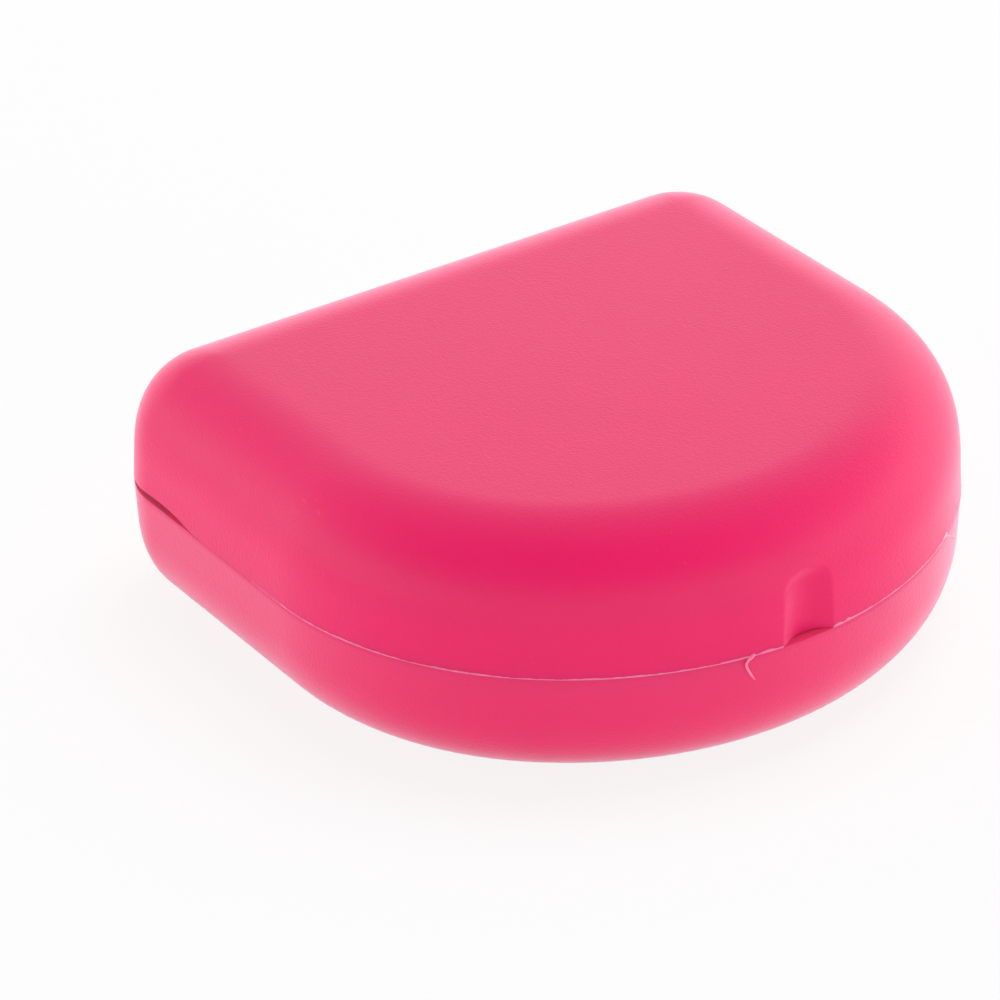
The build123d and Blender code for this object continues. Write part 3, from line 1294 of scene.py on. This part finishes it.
    def build(self) -> bpy.types.Object:
        """Make the flash, which rides with the lid.

        Returns:
            The object.
        """
        made = self.fin()
        for thread in self.threads:
            before = set(made.faces)
            self.hair(made, thread)
            for face in set(made.faces) - before:
                # Marked hairs take the pale material, a painted highlight that stands in for the light they
                # catch
                face.material_index = int(thread.painted_highlight)
        mesh = as_mesh(self.name, made)
        mesh.polygons.foreach_set("use_smooth", [True] * len(mesh.polygons))
        piece = linked(self.name, mesh)
        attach(piece, Body.LID.value)
        log.info("%s: %d faces", self.name, len(mesh.polygons))
        return piece


@dataclass
class RetainerCase:
    """The whole case: two mouldings, two pins and the flash at the parting line."""

    effects: EffectGroups
    arm: HingeArm = HingeArm()
    knuckle_width: float = 5.0 * MM
    ear_width: float = 2.6 * MM

    def lid(self) -> LidMoulding:
        """The lid's sizes."""
        return LidMoulding(
            name="lid_moulding",
            side=Side.UP,
            body=Body.LID,
            slot=Slot.LID,
            node="lid_shell",
            profile=WallProfile(14.6 * MM, math.radians(2.2), 10.8 * MM),
            inner_edge=9.0 * MM,
            spacing=RowSpacing(0.13 * MM, 0.5 * MM, 8.6 * MM),
        )

    def base(self) -> BaseMoulding:
        """The base's sizes."""
        return BaseMoulding(
            name="base_moulding",
            side=Side.DOWN,
            body=Body.BASE,
            slot=Slot.BASE,
            node="base_shell",
            profile=WallProfile(14.0 * MM, math.radians(2.1), 9.7 * MM),
            inner_edge=8.0 * MM,
            spacing=RowSpacing(0.6 * MM, 0.5 * MM, 3.0 * MM),
        )

    def build(self) -> list[bpy.types.Object]:
        """Make and dress every piece.

        Returns:
            The pieces.
        """
        lid = self.lid()
        base = self.base()
        lid_piece = lid.build(self.arm, self.knuckle_width, lid.relief_height)
        base_piece = base.build(self.arm, self.ear_width, 0.0)
        plastic = PinkPlastic("pink_plastic")
        lid_piece.data.materials.append(plastic.make(self.effects))
        hazy = replace(plastic, name="pink_plastic_base", gloss=0.5, haze=1.0, haze_spread=0.38)
        base_piece.data.materials.append(hazy.make(self.effects))
        flash = PartingFlash(lid).build()
        # The flash's paler pink is partly the thin plastic's own lighter tone and partly a painted highlight
        # for the light seam line
        thin = PinkPlastic(
            "flash_tone_and_painted_highlight",
            colour=(0.95, 0.20, 0.38),
            drift_colour=(0.96, 0.30, 0.47),
            grain_strength=0.2,
            glow=0.15,
            glow_depth=0.3 * MM,
        )
        flash.data.materials.append(thin.make(self.effects))
        # This pale colour is a painted highlight: it stands in for the light the thin hairs catch at the
        # seam
        pale = replace(
            thin,
            name="hair_painted_highlight",
            colour=(0.97, 0.60, 0.72),
            drift_colour=(0.98, 0.66, 0.76),
            glow=0.0,
        )
        flash.data.materials.append(pale.make(self.effects))
        steel = DrawnSteel().make(self.effects)
        pins = [HingePin("pin_left", "hinge_pin_left"), HingePin("pin_right", "hinge_pin_right")]
        pieces = [pin.build() for pin in pins]
        for piece in pieces:
            piece.data.materials.append(steel)
        return [lid_piece, base_piece, flash, *pieces]


@dataclass
class Studio:
    """A white table, a soft lamp, the surroundings and the camera."""

    azimuth: float = math.radians(-34.338)
    elevation: float = math.radians(30.446)
    roll: float = math.radians(-0.905)
    distance: float = 525.81 * MM
    aim: Triple = (-9.623 * MM, 4.676 * MM, 14.0 * MM)
    lens: float = 177.98
    sensor: float = 36.0
    floor_half: float = 3.0
    floor_colour: float = 0.98
    floor_white: float = 0.86
    sky_light: float = 0.55
    horizon_light: float = 7.5
    horizon_power: float = 8.0
    horizon_turn: float = 0.2
    side_light: float = 0.4
    back_side: Triple = (0.564, 0.826, 0.0)
    across: Triple = (0.826, -0.564, 0.0)
    dim_side: Triple = (-0.37, -0.51, 0.777)
    dim_power: float = 2.8
    dim_light: float = 1.75
    nearest: float = 0.02
    farthest: float = 20.0
    lamp_place: Triple = (0.3, 0.05, 1.05)
    lamp_aim: Triple = (0.0, 0.0, 0.014)
    lamp_size: float = 0.7
    lamp_watts: float = 6.0

    def camera(self) -> None:
        """Place the camera."""
        az, el = self.azimuth, self.elevation
        back = Vector((math.sin(az) * math.cos(el), -math.cos(az) * math.cos(el), math.sin(el)))
        right = Vector((math.cos(az), math.sin(az), 0.0))
        up = back.cross(right)
        tilted_right = right * math.cos(self.roll) + up * math.sin(self.roll)
        tilted_up = up * math.cos(self.roll) - right * math.sin(self.roll)
        data = bpy.data.cameras.new("camera")
        data.lens = self.lens
        data.sensor_width = self.sensor
        data.clip_start = self.nearest
        data.clip_end = self.farthest
        camera = linked("camera", data)
        turn = Matrix((tilted_right, tilted_up, back)).transposed()
        camera.matrix_world = Matrix.Translation(Vector(self.aim) + back * self.distance) @ turn.to_4x4()
        bpy.context.scene.camera = camera

    def lamp(self) -> None:
        """Hang a soft square lamp that faces the case and does not show in its gloss."""
        data = bpy.data.lights.new("lamp_overhead", "AREA")
        data.shape = "SQUARE"
        data.size = self.lamp_size
        data.energy = self.lamp_watts
        lamp = linked("lamp_overhead", data)
        lamp.visible_glossy = False
        lamp.location = self.lamp_place
        lamp.rotation_mode = "QUATERNION"
        lamp.rotation_quaternion = (Vector(self.lamp_place) - Vector(self.lamp_aim)).to_track_quat("Z", "Y")

    def floor(self) -> None:
        """Lay the white table, which looks white to the camera and keeps a soft shadow."""
        mesh = bpy.data.meshes.new("table")
        half = self.floor_half
        corners = [(-half, -half, 0), (half, -half, 0), (half, half, 0), (-half, half, 0)]
        mesh.from_pydata(corners, [], [(0, 1, 2, 3)])
        table = linked("table", mesh)
        material, shader = Shader.on_new_material("white_table")
        matte = shader.node("BsdfDiffuse", Color=(*[self.floor_colour] * 3, 1.0)).outputs["BSDF"]
        white = shader.node("Emission", Color=WHITE).outputs["Emission"]
        shader.white_when_seen(matte, white, self.floor_white, "OutputMaterial")
        mesh.materials.append(material)

    def sky(self) -> None:
        """Set the surroundings: white where they are seen or mirrored, and a soft gradient as light."""
        world = bpy.data.worlds.new("white_room")
        bpy.context.scene.world = world
        world.use_nodes = True
        shader = Shader(world.node_tree)
        place = shader.node("TexCoord").outputs["Generated"]
        height = shader.node("SeparateXYZ", place).outputs["Z"]
        low = shader.maths("POWER", shader.maths("SUBTRACT", 1.0, height, clamp=True), self.horizon_power)
        turned = shader.maths("MULTIPLY_ADD", shader.dot(place, self.back_side), self.horizon_turn, 1.0)
        band = shader.maths("MULTIPLY", low, turned)
        level = shader.maths("MULTIPLY_ADD", band, self.horizon_light, self.sky_light)
        across = shader.maths("ABSOLUTE", shader.dot(place, self.across))
        level = shader.maths("MULTIPLY_ADD", across, self.side_light, level)
        ahead = shader.maths("MAXIMUM", shader.dot(place, self.dim_side), 0.0)
        dim = shader.maths("POWER", ahead, self.dim_power)
        level = shader.maths("MULTIPLY_ADD", dim, -self.dim_light, level)
        light = shader.node("Background", Color=WHITE, Strength=shader.maths("MAXIMUM", level, 0.0))
        white = shader.node("Background", Color=WHITE)
        shader.white_when_seen(light.outputs["Background"], white.outputs["Background"], 1.0, "OutputWorld")

    def build(self) -> None:
        """Set the stage."""
        self.camera()
        self.floor()
        self.sky()
        self.lamp()
        bpy.context.scene.view_settings.view_transform = "Standard"
        log.info("studio: camera, table, sky and lamp")


def main() -> None:
    logging.basicConfig(level=logging.INFO, format="%(name)s: %(message)s")
    pieces = RetainerCase(EffectGroups()).build()
    Studio().build()
    log.info("%d pieces", len(pieces))


if __name__ == "__main__":
    main()
